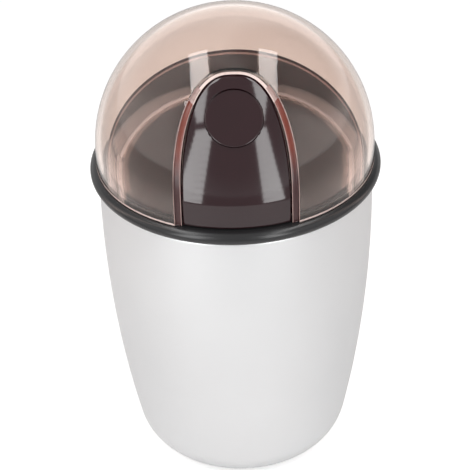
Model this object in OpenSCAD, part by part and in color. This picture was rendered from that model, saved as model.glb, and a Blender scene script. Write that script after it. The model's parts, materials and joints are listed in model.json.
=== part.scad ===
// Electric spice grinder with a dome lid and a push button on a front hood.
// Millimetres. Z is up, the stand surface is z = 0, and the button faces -Y.

/* [Body shell] */
// Radius of the shell where it is widest
barrel_r = 44.8; // [40:0.1:60]
// Height of the widest place above the stand surface
barrel_z = 98; // [80:0.5:110]
// Radius of the long curve of the side
side_arc_r = 418; // [300:5:900]
// Radius of the round at the foot of the side
base_round_r = 15.4; // [10:0.5:20]
// Height of the shell's top edge
shell_top_z = 106.2; // [100:0.1:130]
// Height of the shell's open bottom edge
shell_bottom_z = 2.2; // [1.5:0.1:4]
// Thickness of the steel sheet
shell_t = 0.8; // [0.5:0.1:2]

/* [Collar and deck] */
// Outer radius of the collar ring
collar_r = 47.5; // [46:0.1:64]
// Height of the collar ring
collar_h = 4.3; // [3:0.1:8]
// Height of the collar's skirt inside the shell
collar_skirt_h = 7; // [4:0.5:12]
// Wall of the collar's skirt
collar_skirt_t = 1.4; // [1:0.1:3]
// Thickness of the deck plate
deck_t = 2; // [1.5:0.1:4]
// Radial play between the deck and the lid
lid_play = 0.4; // [0.2:0.05:0.6]

/* [Lid] */
// Outer radius of the dome lid
lid_r = 45.4; // [42:0.1:62]
// Wall of the lid
lid_t = 1.8; // [1.6:0.1:3]
// Height of the straight skirt under the dome
lid_skirt_h = 5.8; // [4:0.1:14]
// Gap between the lid's edge and the collar
lid_seat_gap = 0.1; // [0.05:0.05:0.3]
// Half width of the lid's front opening at the inner lip
arch_half_w = 17.1; // [13:0.1:22]
// Width of the thinned lip round the opening
arch_lip_w = 2.1; // [1.5:0.1:4]
// Height of the opening's straight sides above the collar
arch_side_h = 10; // [8:0.5:26]
// Height of the opening's round top above its straight sides
arch_top_h = 34.8; // [20:0.1:36]
// Power of the opening's round top, 2 for an ellipse
arch_power = 2.5; // [2:0.02:3]

/* [Front hood] */
// Play between the hood and the lid
hood_play = 1.4; // [0.4:0.1:1.6]
// Wall of the hood
hood_t = 2.2; // [1.6:0.1:3]
// Distance from the axis to the hood's rear edge
hood_back_y = 12.8; // [8:0.1:16]
// How far the nose stands proud of the hood
nose_proud = 2.2; // [1:0.1:2.4]
// Height of the nose's upright foot above the collar
nose_foot_h = 9; // [6:0.5:12]
// Radius of the nose's front, seen from the side
nose_arc_r = 65; // [50:5:150]
// Play between the nose and the lid's lip
nose_play = 0.3; // [0.3:0.05:1]
// Thickness of the hood's back cover
cover_t = 1.6; // [1.2:0.1:2.5]
// Distance from the axis to the foot of the back cover
cover_foot_y = 35; // [34.8:0.1:38]

/* [Button] */
// Radius of the thumb button
button_r = 9; // [7:0.1:12]
// Play round the thumb button
button_play = 0.15; // [0.15:0.05:0.5]
// Elevation of the button's centre seen from the dome's centre
button_elev = 40.5; // [36:0.5:44]
// Elevation of the button's axis
button_tilt = 42; // [36:1:50]
// Depth of the button's face below the nose
button_sink = 0.8; // [0:0.1:1.5]
// Travel of the button
button_travel = 1.5; // [1:0.1:1.6]
// Depth of the thumb dish in the button
dish_depth = 0.9; // [0.4:0.1:1.5]
// Wire radius of the button spring
button_wire_r = 0.3; // [0.2:0.05:0.5]

/* [Bowl] */
// Inner radius of the grinding bowl
bowl_r = 31; // [26:0.5:32]
// Depth of the grinding bowl
bowl_depth = 33; // [26:0.5:38]
// Wall of the bowl
bowl_t = 0.8; // [0.5:0.1:1.5]
// Radius of the round at the bowl's floor
bowl_round_r = 8; // [4:0.5:12]
// Width of the bowl's rim on the deck
bowl_rim_w = 1.2; // [0.8:0.1:1.3]

/* [Blade and motor] */
// Length of the blade from tip to tip
blade_len = 52; // [40:1:56]
// Width of the blade
blade_w = 9; // [6:0.5:12]
// Thickness of the blade
blade_t = 1.4; // [1:0.1:2]
// Height of the blade above the bowl's floor
blade_lift = 5; // [4:0.5:8]
// Radius of the motor shaft
shaft_r = 3; // [2:0.1:4]
// Running clearance of the shaft in its bearings
shaft_play = 0.04; // [0.02:0.01:0.08]
// Outer radius of the armature
armature_r = 14; // [10:0.5:16]
// Air gap round the armature
air_gap = 0.6; // [0.4:0.1:1]
// Outer radius of the stator core
stator_r = 27; // [25:0.5:30]
// Height of the stator core
stator_h = 20; // [14:0.5:26]
// Height of the stator core above the stand surface
stator_z = 38; // [37:0.5:40]

/* [Base] */
// Thickness of the base plate
base_t = 2; // [1.5:0.1:3]
// Radius of a rubber foot
foot_r = 4; // [3:0.1:6]
// Distance of the feet from the axis
foot_ring_r = 20; // [14:0.5:24]
// Radius of the cable hole in the inlet bush
inlet_r = 3.2; // [2.5:0.1:4]
// Height of the inlet above the stand surface
inlet_z = 28; // [22:0.5:34]

/* [Hidden] */
$fn = 96;
eps = 0.01;
fit = 0.1;
arc_steps = 20;
side_steps = 22;

// Levels
collar_top_z = shell_top_z + collar_h;
deck_z = collar_top_z;
deck_top_z = deck_z + deck_t;
dome_z = collar_top_z + lid_skirt_h;
lid_z = collar_top_z + lid_seat_gap;
bowl_floor_z = deck_top_z + bowl_t - bowl_depth;
blade_z = bowl_floor_z + blade_lift;
base_top_z = shell_bottom_z + base_t;

// Radii of the dome's layers
lid_in_r = lid_r - lid_t;
deck_r = lid_in_r - lid_play;
hood_r = lid_in_r - hood_play;
hood_in_r = hood_r - hood_t;
nose_r = hood_r + nose_proud;
nose_half_w = arch_half_w - nose_play;

// Shell profile: a long arc that runs on into the round at the foot
side_cx = barrel_r - side_arc_r;
round_cx = side_cx + sqrt(pow(side_arc_r - base_round_r, 2) - pow(barrel_z - base_round_r, 2));
tangent_z = barrel_z + side_arc_r * (base_round_r - barrel_z) / (side_arc_r - base_round_r);
function shell_r(z) = z >= tangent_z
    ? side_cx + sqrt(pow(side_arc_r, 2) - pow(z - barrel_z, 2))
    : round_cx + sqrt(pow(base_round_r, 2) - pow(base_round_r - z, 2));
function shell_in_r(z) = z >= tangent_z
    ? side_cx + sqrt(pow(side_arc_r - shell_t, 2) - pow(z - barrel_z, 2))
    : round_cx + sqrt(pow(base_round_r - shell_t, 2) - pow(base_round_r - z, 2));
shell_levels = concat(
    [for (i = [0:arc_steps]) shell_bottom_z + (tangent_z - shell_bottom_z) * pow(i / arc_steps, 1.6)],
    [for (i = [1:side_steps]) tangent_z + (shell_top_z - tangent_z) * i / side_steps]);

// A dome of one outer radius on a straight skirt that starts at z0
function dome_points(r, z0) = concat(
    [[0, z0], [r, z0]],
    [for (i = [0:arc_steps]) [r * cos(90 * i / arc_steps), dome_z + r * sin(90 * i / arc_steps)]]);
module dome(r, z0) {
    rotate_extrude() polygon(dome_points(r, z0));
}

// Outline of the lid's opening, seen from the front
function arch_power_of(v) = sign(v) * pow(abs(v), 2 / arch_power);
function arch_points(half_w, top_h) = concat(
    [[half_w, 0], [half_w, arch_side_h]],
    [for (i = [1:2 * arc_steps - 1]) let (a = 90 * i / arc_steps)
        [half_w * arch_power_of(cos(a)), arch_side_h + top_h * arch_power_of(sin(a))]],
    [[-half_w, arch_side_h], [-half_w, 0]]);
arch_lip_drop = 1.3;
lip_top_h = arch_top_h - arch_lip_drop;
module arch_prism(half_w, top_h, foot_z, depth = 80) {
    intersection() {
        translate([0, 0, collar_top_z])
            rotate([90, 0, 0])
                linear_extrude(depth)
                    polygon(arch_points(half_w, top_h));
        translate([-depth, -depth, foot_z])
            cube([2 * depth, depth, 2 * depth]);
    }
}
module lower_arch_prism(half_w, top_h) {
    arch_prism(half_w, top_h, collar_top_z - eps);
    translate([-half_w, -2 * lid_r, collar_top_z - lid_skirt_h])
        cube([2 * half_w, 2 * lid_r, lid_skirt_h + arch_side_h]);
}

module ring(r_out, r_in, h) {
    difference() {
        cylinder(r = r_out, h = h);
        translate([0, 0, -eps])
            cylinder(r = r_in, h = h + 2 * eps);
    }
}

// Places children on a circle
module around(count, radius, turn = 0) {
    for (i = [0:count - 1])
        rotate([0, 0, turn + 360 * i / count])
            translate([radius, 0, 0])
                children();
}

// A round wire wound along Z, swept as one closed tube
wire_sides = 6;
turn_steps = 14;
module coil(radius, wire_r, h, turns) {
    steps = turns * turn_steps;
    pitch = (h - 2 * wire_r) / turns;
    points = [for (i = [0:steps]) for (k = [0:wire_sides - 1])
        let (a = 360 * i / turn_steps, b = 360 * k / wire_sides, d = radius + wire_r * cos(b))
            [d * cos(a), d * sin(a), wire_r + pitch * i / turn_steps + wire_r * sin(b)]];
    sides = [for (i = [0:steps - 1]) for (k = [0:wire_sides - 1])
        let (a = i * wire_sides, b = a + wire_sides, n = (k + 1) % wire_sides)
            [a + k, b + k, b + n, a + n]];
    caps = [[for (k = [0:wire_sides - 1]) k],
        [for (k = [wire_sides - 1:-1:0]) steps * wire_sides + k]];
    polyhedron(points = points, faces = concat(sides, caps), convexity = 8);
}

// A pan-head screw that points down from its head, head underside at z = 0
module screw(shank_r, len, head_r, head_h) {
    translate([0, 0, -len])
        cylinder(r = shank_r, h = len);
    difference() {
        cylinder(r = head_r, h = head_h);
        for (a = [0, 90])
            rotate([0, 0, a])
                translate([-head_r * 0.6, -head_r * 0.12, head_h * 0.5])
                    cube([head_r * 1.2, head_r * 0.24, head_h]);
    }
}

// ---------------------------------------------------------------- body shell

// The frame's bolts and the inlet hole use these
frame_t = 1.8;
frame_r = shell_in_r(18) - 0.9;
frame_in_r = frame_r - frame_t;
frame_bottom_z = 18;
frame_flange_t = 2;
skirt_r = shell_in_r(shell_top_z) - 0.2;
skirt_in_r = skirt_r - collar_skirt_t;
collar_in_r = frame_in_r + 1.5;
bush_r = inlet_r + 1.4;
bush_flange_r = bush_r + 1.6;

module outer_shell() {
    outer = [for (z = shell_levels) [shell_r(z), z]];
    last = len(shell_levels) - 1;
    inner = [for (i = [last:-1:0]) [shell_in_r(shell_levels[i]), shell_levels[i]]];
    color("gainsboro")
        difference() {
            rotate_extrude() polygon(concat(outer, inner));
            translate([0, 0, inlet_z])
                rotate([-90, 0, 0])
                    cylinder(r = bush_r + fit, h = 2 * barrel_r);
        }
}

module collar_ring() {
    bead_r = collar_h / 2;
    plate_r = max(collar_r - bead_r, skirt_r);
    color("#383838")
        difference() {
            union() {
                rotate_extrude() {
                    difference() {
                        union() {
                            translate([collar_in_r, shell_top_z])
                                square([plate_r - collar_in_r, collar_h]);
                            translate([collar_r - bead_r, shell_top_z + bead_r])
                                circle(r = bead_r);
                        }
                        square([collar_in_r, 2 * collar_top_z]);
                    }
                }
                translate([0, 0, shell_top_z - collar_skirt_h])
                    ring(skirt_r, skirt_in_r, collar_skirt_h + eps);
            }
            around(4, deck_screw_ring_r, 45)
                translate([0, 0, shell_top_z - collar_skirt_h - eps])
                    cylinder(r = deck_screw_r + fit, h = collar_skirt_h + collar_h + 2 * eps);
        }
}

// Four screws clamp the deck, the collar and the frame's flange together
deck_screw_r = 1.4;
deck_screw_ring_r = frame_r + deck_screw_r + 0.2;
deck_screw_len = deck_t + collar_h + frame_flange_t + 2;
deck_screw_head_r = deck_screw_r * 1.6;
deck_screw_head_h = 1.2;

// The lid's tab stands over the deck, beside the hood
interlock_a = -7;
tab_w = 6;
tab_d = 5.6;
tab_h = 5;
tab_in_r = deck_r - tab_d;

module top_deck() {
    color("#262626")
        difference() {
            translate([0, 0, deck_z])
                ring(deck_r, bowl_r + bowl_t + fit, deck_t);
            around(4, deck_screw_ring_r, 45)
                translate([0, 0, deck_z - eps])
                    cylinder(r = deck_screw_r + fit, h = deck_t + 2 * eps);
        }
}

module deck_screws() {
    color("silver")
        around(4, deck_screw_ring_r, 45)
            translate([0, 0, deck_top_z])
                screw(deck_screw_r, deck_screw_len, deck_screw_head_r, deck_screw_head_h);
}

// The inner frame carries the motor and hangs from the collar
module inner_frame() {
    flange_z = shell_top_z - frame_flange_t;
    color("#404040")
        difference() {
            union() {
                translate([0, 0, frame_bottom_z])
                    ring(frame_r, frame_in_r, shell_top_z - frame_bottom_z);
                translate([0, 0, flange_z])
                    ring(skirt_in_r - 0.2, frame_in_r, frame_flange_t);
            }
            around(4, deck_screw_ring_r, 45)
                translate([0, 0, flange_z - eps])
                    cylinder(r = deck_screw_r + fit, h = frame_flange_t + 2 * eps);
            translate([0, 0, inlet_z])
                rotate([-90, 0, 0])
                    cylinder(r = bush_flange_r + 0.5, h = 2 * barrel_r);
        }
}

// ---------------------------------------------------------------- hood and button

// Cuts away everything behind the plane of the back cover's front face
cover_rise = hood_in_r * sin(acos(hood_back_y / hood_in_r)) + dome_z - deck_top_z;
cover_lean = atan((cover_foot_y - hood_back_y) / cover_rise);
module behind_cover(forward = 0) {
    translate([0, -cover_foot_y, deck_top_z])
        rotate([-cover_lean, 0, 0])
            translate([-2 * lid_r, -forward, -lid_r])
                cube([4 * lid_r, 4 * lid_r, 4 * lid_r]);
}

// Profile of the nose: an upright foot, then one arc whose ends lie on a sphere
nose_gap = 0.5;
nose_foot_z = deck_z + nose_gap;
nose_low_z = collar_top_z + nose_foot_h;
nose_top_z = collar_top_z + arch_side_h + lip_top_h - nose_play;
nose_low = [sqrt(pow(nose_r, 2) - pow(nose_low_z - dome_z, 2)), nose_low_z];
nose_high = [sqrt(pow(nose_r, 2) - pow(nose_top_z - dome_z, 2)), nose_top_z];
nose_chord = nose_high - nose_low;
nose_mid = (nose_low + nose_high) / 2 - sqrt(pow(nose_arc_r / norm(nose_chord), 2) - 1 / 4)
    * [nose_chord[1], -nose_chord[0]];
nose_from = atan2(nose_low[1] - nose_mid[1], nose_low[0] - nose_mid[0]);
nose_to = atan2(nose_high[1] - nose_mid[1], nose_high[0] - nose_mid[0]) + 5;
function nose_arc(inset, i) = nose_mid + (nose_arc_r - inset)
    * [cos(nose_from + (nose_to - nose_from) * i / arc_steps), sin(nose_from + (nose_to - nose_from) * i / arc_steps)];
function nose_points(inset) = concat(
    [[0, nose_foot_z], [nose_arc(inset, 0)[0], nose_foot_z]],
    [for (i = [0:arc_steps]) nose_arc(inset, i)],
    [[0, nose_arc(inset, arc_steps)[1]]]);
module nose_block(inset) {
    intersection() {
        rotate_extrude() polygon(nose_points(inset));
        arch_prism(nose_half_w - inset, lip_top_h - nose_play - inset, nose_foot_z);
    }
}

// Frame of the button: its axis points outwards along local Z, from a point on the nose's arc
button_ray = [cos(button_elev), sin(button_elev)];
ray_start = [0, dome_z] - nose_mid;
ray_len = -button_ray * ray_start
    + sqrt(pow(button_ray * ray_start, 2) - ray_start * ray_start + pow(nose_arc_r, 2));
button_cy = -ray_len * button_ray[0] + button_sink * cos(button_tilt);
button_cz = dome_z + ray_len * button_ray[1] - button_sink * sin(button_tilt);
module on_button_axis() {
    translate([0, button_cy, button_cz])
        rotate([90 - button_tilt, 0, 0])
            children();
}

module switch_hood() {
    color("#2a2526")
        difference() {
            union() {
                intersection() {
                    dome(hood_r, deck_top_z);
                    translate([-lid_r, -2 * lid_r, 0])
                        cube([2 * lid_r, 2 * lid_r - hood_back_y, 5 * lid_r]);
                }
                difference() {
                    nose_block(0);
                    cylinder(r = deck_r + fit, h = deck_top_z);
                }
            }
            dome(hood_in_r, deck_top_z - eps);
            intersection() {
                nose_block(hood_t);
                translate([-lid_r, -2 * lid_r, deck_top_z + hood_t])
                    cube([2 * lid_r, 2 * lid_r, 2 * lid_r]);
            }
            on_button_axis()
                translate([0, 0, -2 * button_len])
                    cylinder(r = button_r + button_play, h = 4 * button_len);
            around(4, deck_screw_ring_r, 45)
                translate([0, 0, deck_top_z - eps])
                    cylinder(r = deck_screw_head_r + fit, h = deck_screw_head_h + fit);
        }
}

// The cover bulges round the switch
pocket_play = 0.3;
module switch_space(grow, ahead) {
    on_button_axis()
        translate([-switch_size[0] / 2 - grow, -switch_size[1] / 2 - switch_drop - grow, -switch_top - switch_size[2] - grow])
            cube([switch_size[0] + 2 * grow, switch_size[1] + 2 * grow, switch_size[2] + 2 * grow + ahead]);
}
module hood_back_cover() {
    color("#242021")
        intersection() {
            dome(hood_in_r - fit, deck_top_z);
            difference() {
                behind_cover();
                difference() {
                    translate([0, cover_t, 0])
                        behind_cover();
                    switch_space(pocket_play + cover_t, 0);
                }
                switch_space(pocket_play, switch_top);
            }
            translate([-lid_r, -2 * lid_r, 0])
                cube([2 * lid_r, 2 * lid_r - hood_back_y, 5 * lid_r]);
        }
}

// Along the button's axis, measured inwards from its face
button_len = 6.6;
flange_t = 1;
flange_extra = 0.9;
stem_r = 2.4;
stem_len = 4;
guide_floor = button_len + 2.4;
guide_floor_t = 1.4;
guide_r = button_r + flange_extra + 0.5;
guide_t = 1.2;

module push_button() {
    dish_r = (pow(button_r - 1, 2) + pow(dish_depth, 2)) / (2 * dish_depth);
    color("#2f2628")
        on_button_axis()
            difference() {
                union() {
                    translate([0, 0, -button_len])
                        cylinder(r = button_r, h = button_len);
                    translate([0, 0, -button_len])
                        cylinder(r = button_r + flange_extra, h = flange_t);
                    translate([0, 0, -button_len - stem_len])
                        cylinder(r = stem_r, h = stem_len + eps);
                }
                translate([0, 0, dish_r - dish_depth])
                    sphere(r = dish_r);
            }
}

module button_guide() {
    color("#353132")
        intersection() {
            dome(hood_in_r - fit, deck_top_z);
            difference() {
                on_button_axis()
                    difference() {
                        translate([0, 0, -guide_floor - guide_floor_t])
                            cylinder(r = guide_r + guide_t, h = guide_floor + guide_floor_t);
                        translate([0, 0, -guide_floor])
                            cylinder(r = guide_r, h = guide_floor + eps);
                        translate([0, 0, -guide_floor - 2 * guide_floor_t])
                            cylinder(r = stem_r + shaft_play, h = 3 * guide_floor_t);
                    }
                behind_cover(fit);
            }
        }
}

module button_spring() {
    color("silver")
        on_button_axis()
            translate([0, 0, -guide_floor + fit])
                coil(stem_r + 3 * button_wire_r, button_wire_r, guide_floor - button_len - 2 * fit, 2);
}

switch_gap = 0.1;
switch_drop = 1;
switch_top = button_len + stem_len + button_travel + switch_gap;
switch_size = [12.8, 6.5, 2.4];
plunger_r = 1;
plunger_play = 0.06;
plunger_dip = 0.3;
module switch_plunger() {
    color("crimson")
        on_button_axis()
            translate([0, 0, -switch_top - plunger_dip])
                cylinder(r = plunger_r, h = switch_top + plunger_dip - button_len - stem_len);
}

module micro_switch() {
    color("#1c1c1c")
        on_button_axis()
            difference() {
                translate([-switch_size[0] / 2, -switch_size[1] / 2 - switch_drop, -switch_top - switch_size[2]])
                    cube(switch_size);
                translate([0, 0, -switch_top - button_travel - plunger_dip - fit])
                    cylinder(r = plunger_r + plunger_play, h = button_travel + plunger_dip + 2 * fit);
            }
}

// ---------------------------------------------------------------- lid and interlock

module lid() {
    color([0.85, 0.62, 0.54, 0.45])
        union() {
            difference() {
                dome(lid_r, lid_z);
                dome(lid_in_r, lid_z - eps);
                lower_arch_prism(arch_half_w, lip_top_h);
                intersection() {
                    lower_arch_prism(arch_half_w + arch_lip_w, arch_top_h);
                    difference() {
                        dome(lid_r + 1, lid_z - 2 * eps);
                        dome(lid_in_r + lid_t / 2, lid_z - 3 * eps);
                    }
                }
            }
            rotate([0, 0, interlock_a])
                intersection() {
                    translate([tab_in_r, -tab_w / 2, deck_top_z + tab_gap])
                        difference() {
                            cube([lid_in_r, tab_w, tab_h]);
                            translate([magnet_at, tab_w / 2, -eps])
                                cylinder(r = magnet_r + fit / 2, h = magnet_h + fit);
                        }
                    dome(lid_in_r + lid_t / 2, lid_z);
                }
        }
}

// A magnet in the lid's tab closes a reed switch under the collar
tab_gap = 0.3;
magnet_r = 1.8;
magnet_h = 2;
magnet_at = 2.6;
module lid_magnet() {
    color("dimgray")
        rotate([0, 0, interlock_a])
            translate([tab_in_r + magnet_at, 0, deck_top_z + tab_gap])
                cylinder(r = magnet_r, h = magnet_h);
}

reed_size = [3.4, 12, 3];
reed_gap = 0.2;
module reed_switch() {
    color("#20304a")
        rotate([0, 0, interlock_a])
            translate([frame_r + reed_gap, -reed_size[1] / 2, shell_top_z - frame_flange_t - reed_gap - reed_size[2]])
                cube(reed_size);
}

// ---------------------------------------------------------------- bowl and blade

module bowl_solid(r, floor_z, round_r, top_z) {
    rotate_extrude()
        polygon(concat(
            [[0, floor_z]],
            [for (i = [0:arc_steps]) let (a = 90 * i / arc_steps)
                [r - round_r + round_r * sin(a), floor_z + round_r - round_r * cos(a)]],
            [[r, top_z], [0, top_z]]));
}

hub_hole_r = shaft_r + 2.5;
module grinding_bowl() {
    rim_z = deck_top_z;
    color("lightgray")
        difference() {
            union() {
                bowl_solid(bowl_r + bowl_t, bowl_floor_z - bowl_t, bowl_round_r + bowl_t, rim_z + bowl_t);
                translate([0, 0, rim_z])
                    cylinder(r = bowl_r + bowl_t + bowl_rim_w, h = bowl_t);
            }
            bowl_solid(bowl_r, bowl_floor_z, bowl_round_r, rim_z + 2 * bowl_t);
            translate([0, 0, bowl_floor_z - 2 * bowl_t])
                cylinder(r = hub_hole_r, h = 4 * bowl_t);
        }
}

module bowl_gasket() {
    gasket_h = 1.6;
    color("#505050")
        translate([0, 0, deck_z - fit - gasket_h])
            ring(frame_in_r - fit, bowl_r + bowl_t + fit, gasket_h);
}

// The seal fills the bowl's floor hole and runs on the shaft
seal_h = 4;
module shaft_seal() {
    color("#3a3a3a")
        difference() {
            union() {
                translate([0, 0, bowl_floor_z - bowl_t - seal_h])
                    cylinder(r = hub_hole_r + 2, h = seal_h);
                translate([0, 0, bowl_floor_z - bowl_t - eps])
                    cylinder(r = hub_hole_r - fit, h = bowl_t + 1);
            }
            translate([0, 0, bowl_floor_z - bowl_t - 2 * seal_h])
                cylinder(r = shaft_r + shaft_play, h = 4 * seal_h);
        }
}

// Two wings, one bent up and one bent down, on a flat middle
wing_up = 14;
wing_down = 7;
blade_flat = 16;
module blade() {
    tip = blade_len / 2;
    flat = blade_flat / 2;
    rise = (tip - flat) * tan(wing_up);
    drop = (tip - flat) * tan(wing_down);
    side = [[-tip, -drop], [-flat, 0], [flat, 0], [tip, rise],
        [tip, rise + blade_t], [flat, blade_t], [-flat, blade_t], [-tip, blade_t - drop]];
    color("silver")
        difference() {
            intersection() {
                translate([0, blade_w / 2, blade_z])
                    rotate([90, 0, 0])
                        linear_extrude(blade_w)
                            polygon(side);
                translate([0, 0, blade_z - blade_len / 4])
                    cylinder(r = tip - 0.2, h = blade_len / 2);
            }
            translate([0, 0, blade_z - blade_t])
                cylinder(r = shaft_r + shaft_play, h = 3 * blade_t);
        }
}

nut_h = 5;
module blade_nut() {
    color("gainsboro")
        difference() {
            translate([0, 0, blade_z + blade_t])
                union() {
                    cylinder(r = shaft_r + 2.2, h = nut_h - 1);
                    cylinder(r = shaft_r + 1.2, h = nut_h);
                }
            translate([0, 0, blade_z])
                cylinder(r = shaft_r + shaft_play, h = blade_t + nut_h - 0.8);
        }
}

// ---------------------------------------------------------------- motor

bearing_r = 6.5;
bearing_h = 7;
bracket_t = 2.5;
upper_bracket_z = bowl_floor_z - bowl_t - seal_h - 5;
lower_bracket_z = 20;
shaft_bottom_z = lower_bracket_z - 3;
stator_top_z = stator_z + stator_h;
coil_h = 4;
mid_bearing_drop = (bearing_h - bracket_t) / 2;
through_screw_ring_r = 24;
through_screw_r = 1.6;
commutator_h = 8;
commutator_z = lower_bracket_z + 6.2;
commutator_r = 7;

module drive_shaft() {
    shoulder_h = blade_z - (bowl_floor_z + 1.4);
    color("silver") {
        translate([0, 0, shaft_bottom_z])
            cylinder(r = shaft_r, h = blade_z + blade_t + nut_h - 1 - shaft_bottom_z);
        translate([0, 0, blade_z - shoulder_h])
            cylinder(r = shaft_r + 1.6, h = shoulder_h);
    }
}

module bearing_at(z) {
    color("#b08d57")
        translate([0, 0, z])
            ring(bearing_r, shaft_r + shaft_play, bearing_h);
}
module upper_bearing() {
    bearing_at(upper_bracket_z - mid_bearing_drop);
}
module lower_bearing() {
    bearing_at(lower_bracket_z - mid_bearing_drop);
}

// A disc with a bearing seat, vent windows and screw holes
module bracket(z, r) {
    window_r = (bearing_r + through_screw_ring_r) / 2;
    color("#9a9a9a")
        translate([0, 0, z])
            difference() {
                cylinder(r = r, h = bracket_t);
                translate([0, 0, -eps])
                    cylinder(r = bearing_r, h = bracket_t + 2 * eps);
                around(4, window_r)
                    translate([0, 0, -eps])
                        cylinder(r = 4, h = bracket_t + 2 * eps);
                around(4, through_screw_ring_r, 45)
                    translate([0, 0, -eps])
                        cylinder(r = through_screw_r + fit, h = bracket_t + 2 * eps);
            }
}
module upper_bracket() {
    bracket(upper_bracket_z, frame_in_r - fit);
}
module lower_bracket() {
    bracket(lower_bracket_z, frame_in_r - fit);
}

// Laminated ring with slots for the field coils' legs
leg_in_r = armature_r + air_gap + 1.2;
leg_t = 4.5;
leg_w = 7;
leg_turn = 45;
module coil_legs(grow, z, h) {
    for (side = [0, 180])
        for (a = [-leg_turn, leg_turn])
            rotate([0, 0, side + a])
                translate([leg_in_r - grow, -leg_w / 2 - grow, z])
                    cube([leg_t + 2 * grow, leg_w + 2 * grow, h]);
}
module stator_core() {
    color("#7d7d80")
        difference() {
            translate([0, 0, stator_z])
                ring(stator_r, armature_r + air_gap, stator_h);
            coil_legs(fit, stator_z - eps, stator_h + 2 * eps);
            around(4, through_screw_ring_r, 45)
                translate([0, 0, stator_z - eps])
                    cylinder(r = through_screw_r + fit, h = stator_h + 2 * eps);
        }
}

module end_turn(z) {
    rotate([0, 0, -leg_turn])
        translate([0, 0, z])
            rotate_extrude(angle = 2 * leg_turn)
                translate([leg_in_r, 0])
                    square([leg_t, coil_h]);
}
module field_coils() {
    color("#b5602d") {
        coil_legs(0, stator_z - coil_h, stator_h + 2 * coil_h);
        for (side = [0, 180])
            rotate([0, 0, side]) {
                end_turn(stator_z - coil_h);
                end_turn(stator_top_z);
            }
    }
}

// Slotted rotor core on the shaft
slot_count = 12;
module armature_core() {
    color("#77777a")
        translate([0, 0, stator_z])
            difference() {
                ring(armature_r, shaft_r, stator_h);
                around(slot_count, armature_r)
                    translate([-3.5, -0.6, -eps])
                        cube([5, 1.2, stator_h + 2 * eps]);
            }
}

module armature_windings() {
    color("#c0692f") {
        translate([0, 0, stator_top_z])
            ring(armature_r - 2, shaft_r, coil_h - 0.4);
        translate([0, 0, stator_z - coil_h + 0.4])
            ring(armature_r - 2, shaft_r, coil_h - 0.4);
    }
}

module commutator() {
    bar_count = 12;
    color("#c98a4b")
        translate([0, 0, commutator_z])
            difference() {
                ring(commutator_r, shaft_r, commutator_h);
                around(bar_count, commutator_r)
                    translate([-0.8, -0.2, 1])
                        cube([1.6, 0.4, commutator_h]);
            }
}

fan_r = 18;
fan_h = 4;
fan_z = stator_top_z + coil_h + 1;
module cooling_fan() {
    fan_blades = 8;
    hub_r = shaft_r + 2;
    color("#2e4a66")
        translate([0, 0, fan_z])
            union() {
                ring(hub_r, shaft_r, fan_h);
                ring(fan_r, shaft_r, 1);
                around(fan_blades, hub_r - 0.5)
                    translate([0, -0.5, 0.5])
                        cube([fan_r - hub_r - 0.5, 1, fan_h - 0.5]);
            }
}

// Brush gear: a carbon in a brass box each side, pushed by a spring
brush = [7, 4, 5];
brush_gap = 0.2;
brush_mid_z = commutator_z + commutator_h / 2 + 0.4;
holder_wall = 0.8;
holder_len = 15;
holder_gap = 1;
holder_foot_at = 4;
holder_foot_len = 9;
module each_brush() {
    for (a = [0, 180])
        rotate([0, 0, a])
            translate([commutator_r + brush_gap, 0, brush_mid_z])
                children();
}
module brush_holders() {
    color("#b58f4a")
        each_brush() {
            difference() {
                translate([holder_gap, -brush[1] / 2 - holder_wall - fit, -brush[2] / 2 - holder_wall - fit])
                    cube([holder_len, brush[1] + 2 * (holder_wall + fit), brush[2] + 2 * (holder_wall + fit)]);
                translate([0, -brush[1] / 2 - fit, -brush[2] / 2 - fit])
                    cube([holder_len - holder_gap, brush[1] + 2 * fit, brush[2] + 2 * fit]);
            }
            translate([holder_foot_at, -brush[1] / 2, lower_bracket_z + bracket_t - brush_mid_z])
                cube([holder_foot_len, brush[1], brush_mid_z - lower_bracket_z - bracket_t - brush[2] / 2 - holder_wall]);
        }
}
module carbon_brushes() {
    color("#2b2b2d")
        each_brush()
            translate([0, -brush[1] / 2, -brush[2] / 2])
                cube(brush);
}
brush_wire_r = 0.25;
brush_coil_r = 1.3;
module brush_springs() {
    spring_h = holder_len - holder_gap - brush[0] - 4 * fit;
    color("silver")
        each_brush()
            translate([brush[0] + 2 * fit, 0, 0])
                rotate([0, 90, 0])
                    coil(brush_coil_r, brush_wire_r, spring_h, 5);
}

module motor_screws() {
    top = upper_bracket_z + bracket_t;
    color("silver")
        around(4, through_screw_ring_r, 45)
            translate([0, 0, top])
                screw(through_screw_r, top - lower_bracket_z + 1.5, through_screw_r * 1.8, 1.6);
}

// ---------------------------------------------------------------- base

mount_turn = 30;
mount_r = 3.4;
mount_h = 6;
base_plate_r = shell_in_r(shell_bottom_z) - 0.3;
mount_ring_r = base_plate_r - mount_r - 0.5;
module rubber_mounts() {
    color("#202020")
        around(3, mount_ring_r, mount_turn)
            translate([0, 0, lower_bracket_z - mount_h])
                cylinder(r = mount_r, h = mount_h);
}

base_screw_r = 1.5;
base_screw_grip = 4;
base_screw_ring_r = foot_ring_r - foot_r - 3;
module base_plate() {
    boss_h = lower_bracket_z - mount_h - base_top_z;
    color("#2b2b2b")
        difference() {
            union() {
                translate([0, 0, shell_bottom_z])
                    cylinder(r = base_plate_r, h = base_t);
                around(3, mount_ring_r, mount_turn)
                    translate([0, 0, base_top_z - eps])
                        cylinder(r = mount_r, h = boss_h + eps);
            }
            around(4, foot_ring_r, 45)
                translate([0, 0, shell_bottom_z - eps])
                    cylinder(r = foot_r * 0.5, h = base_t + 2 * eps);
            around(3, base_screw_ring_r, 90)
                translate([0, 0, shell_bottom_z - eps])
                    cylinder(r = base_screw_r + fit, h = base_t + 2 * eps);
        }
}

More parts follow.
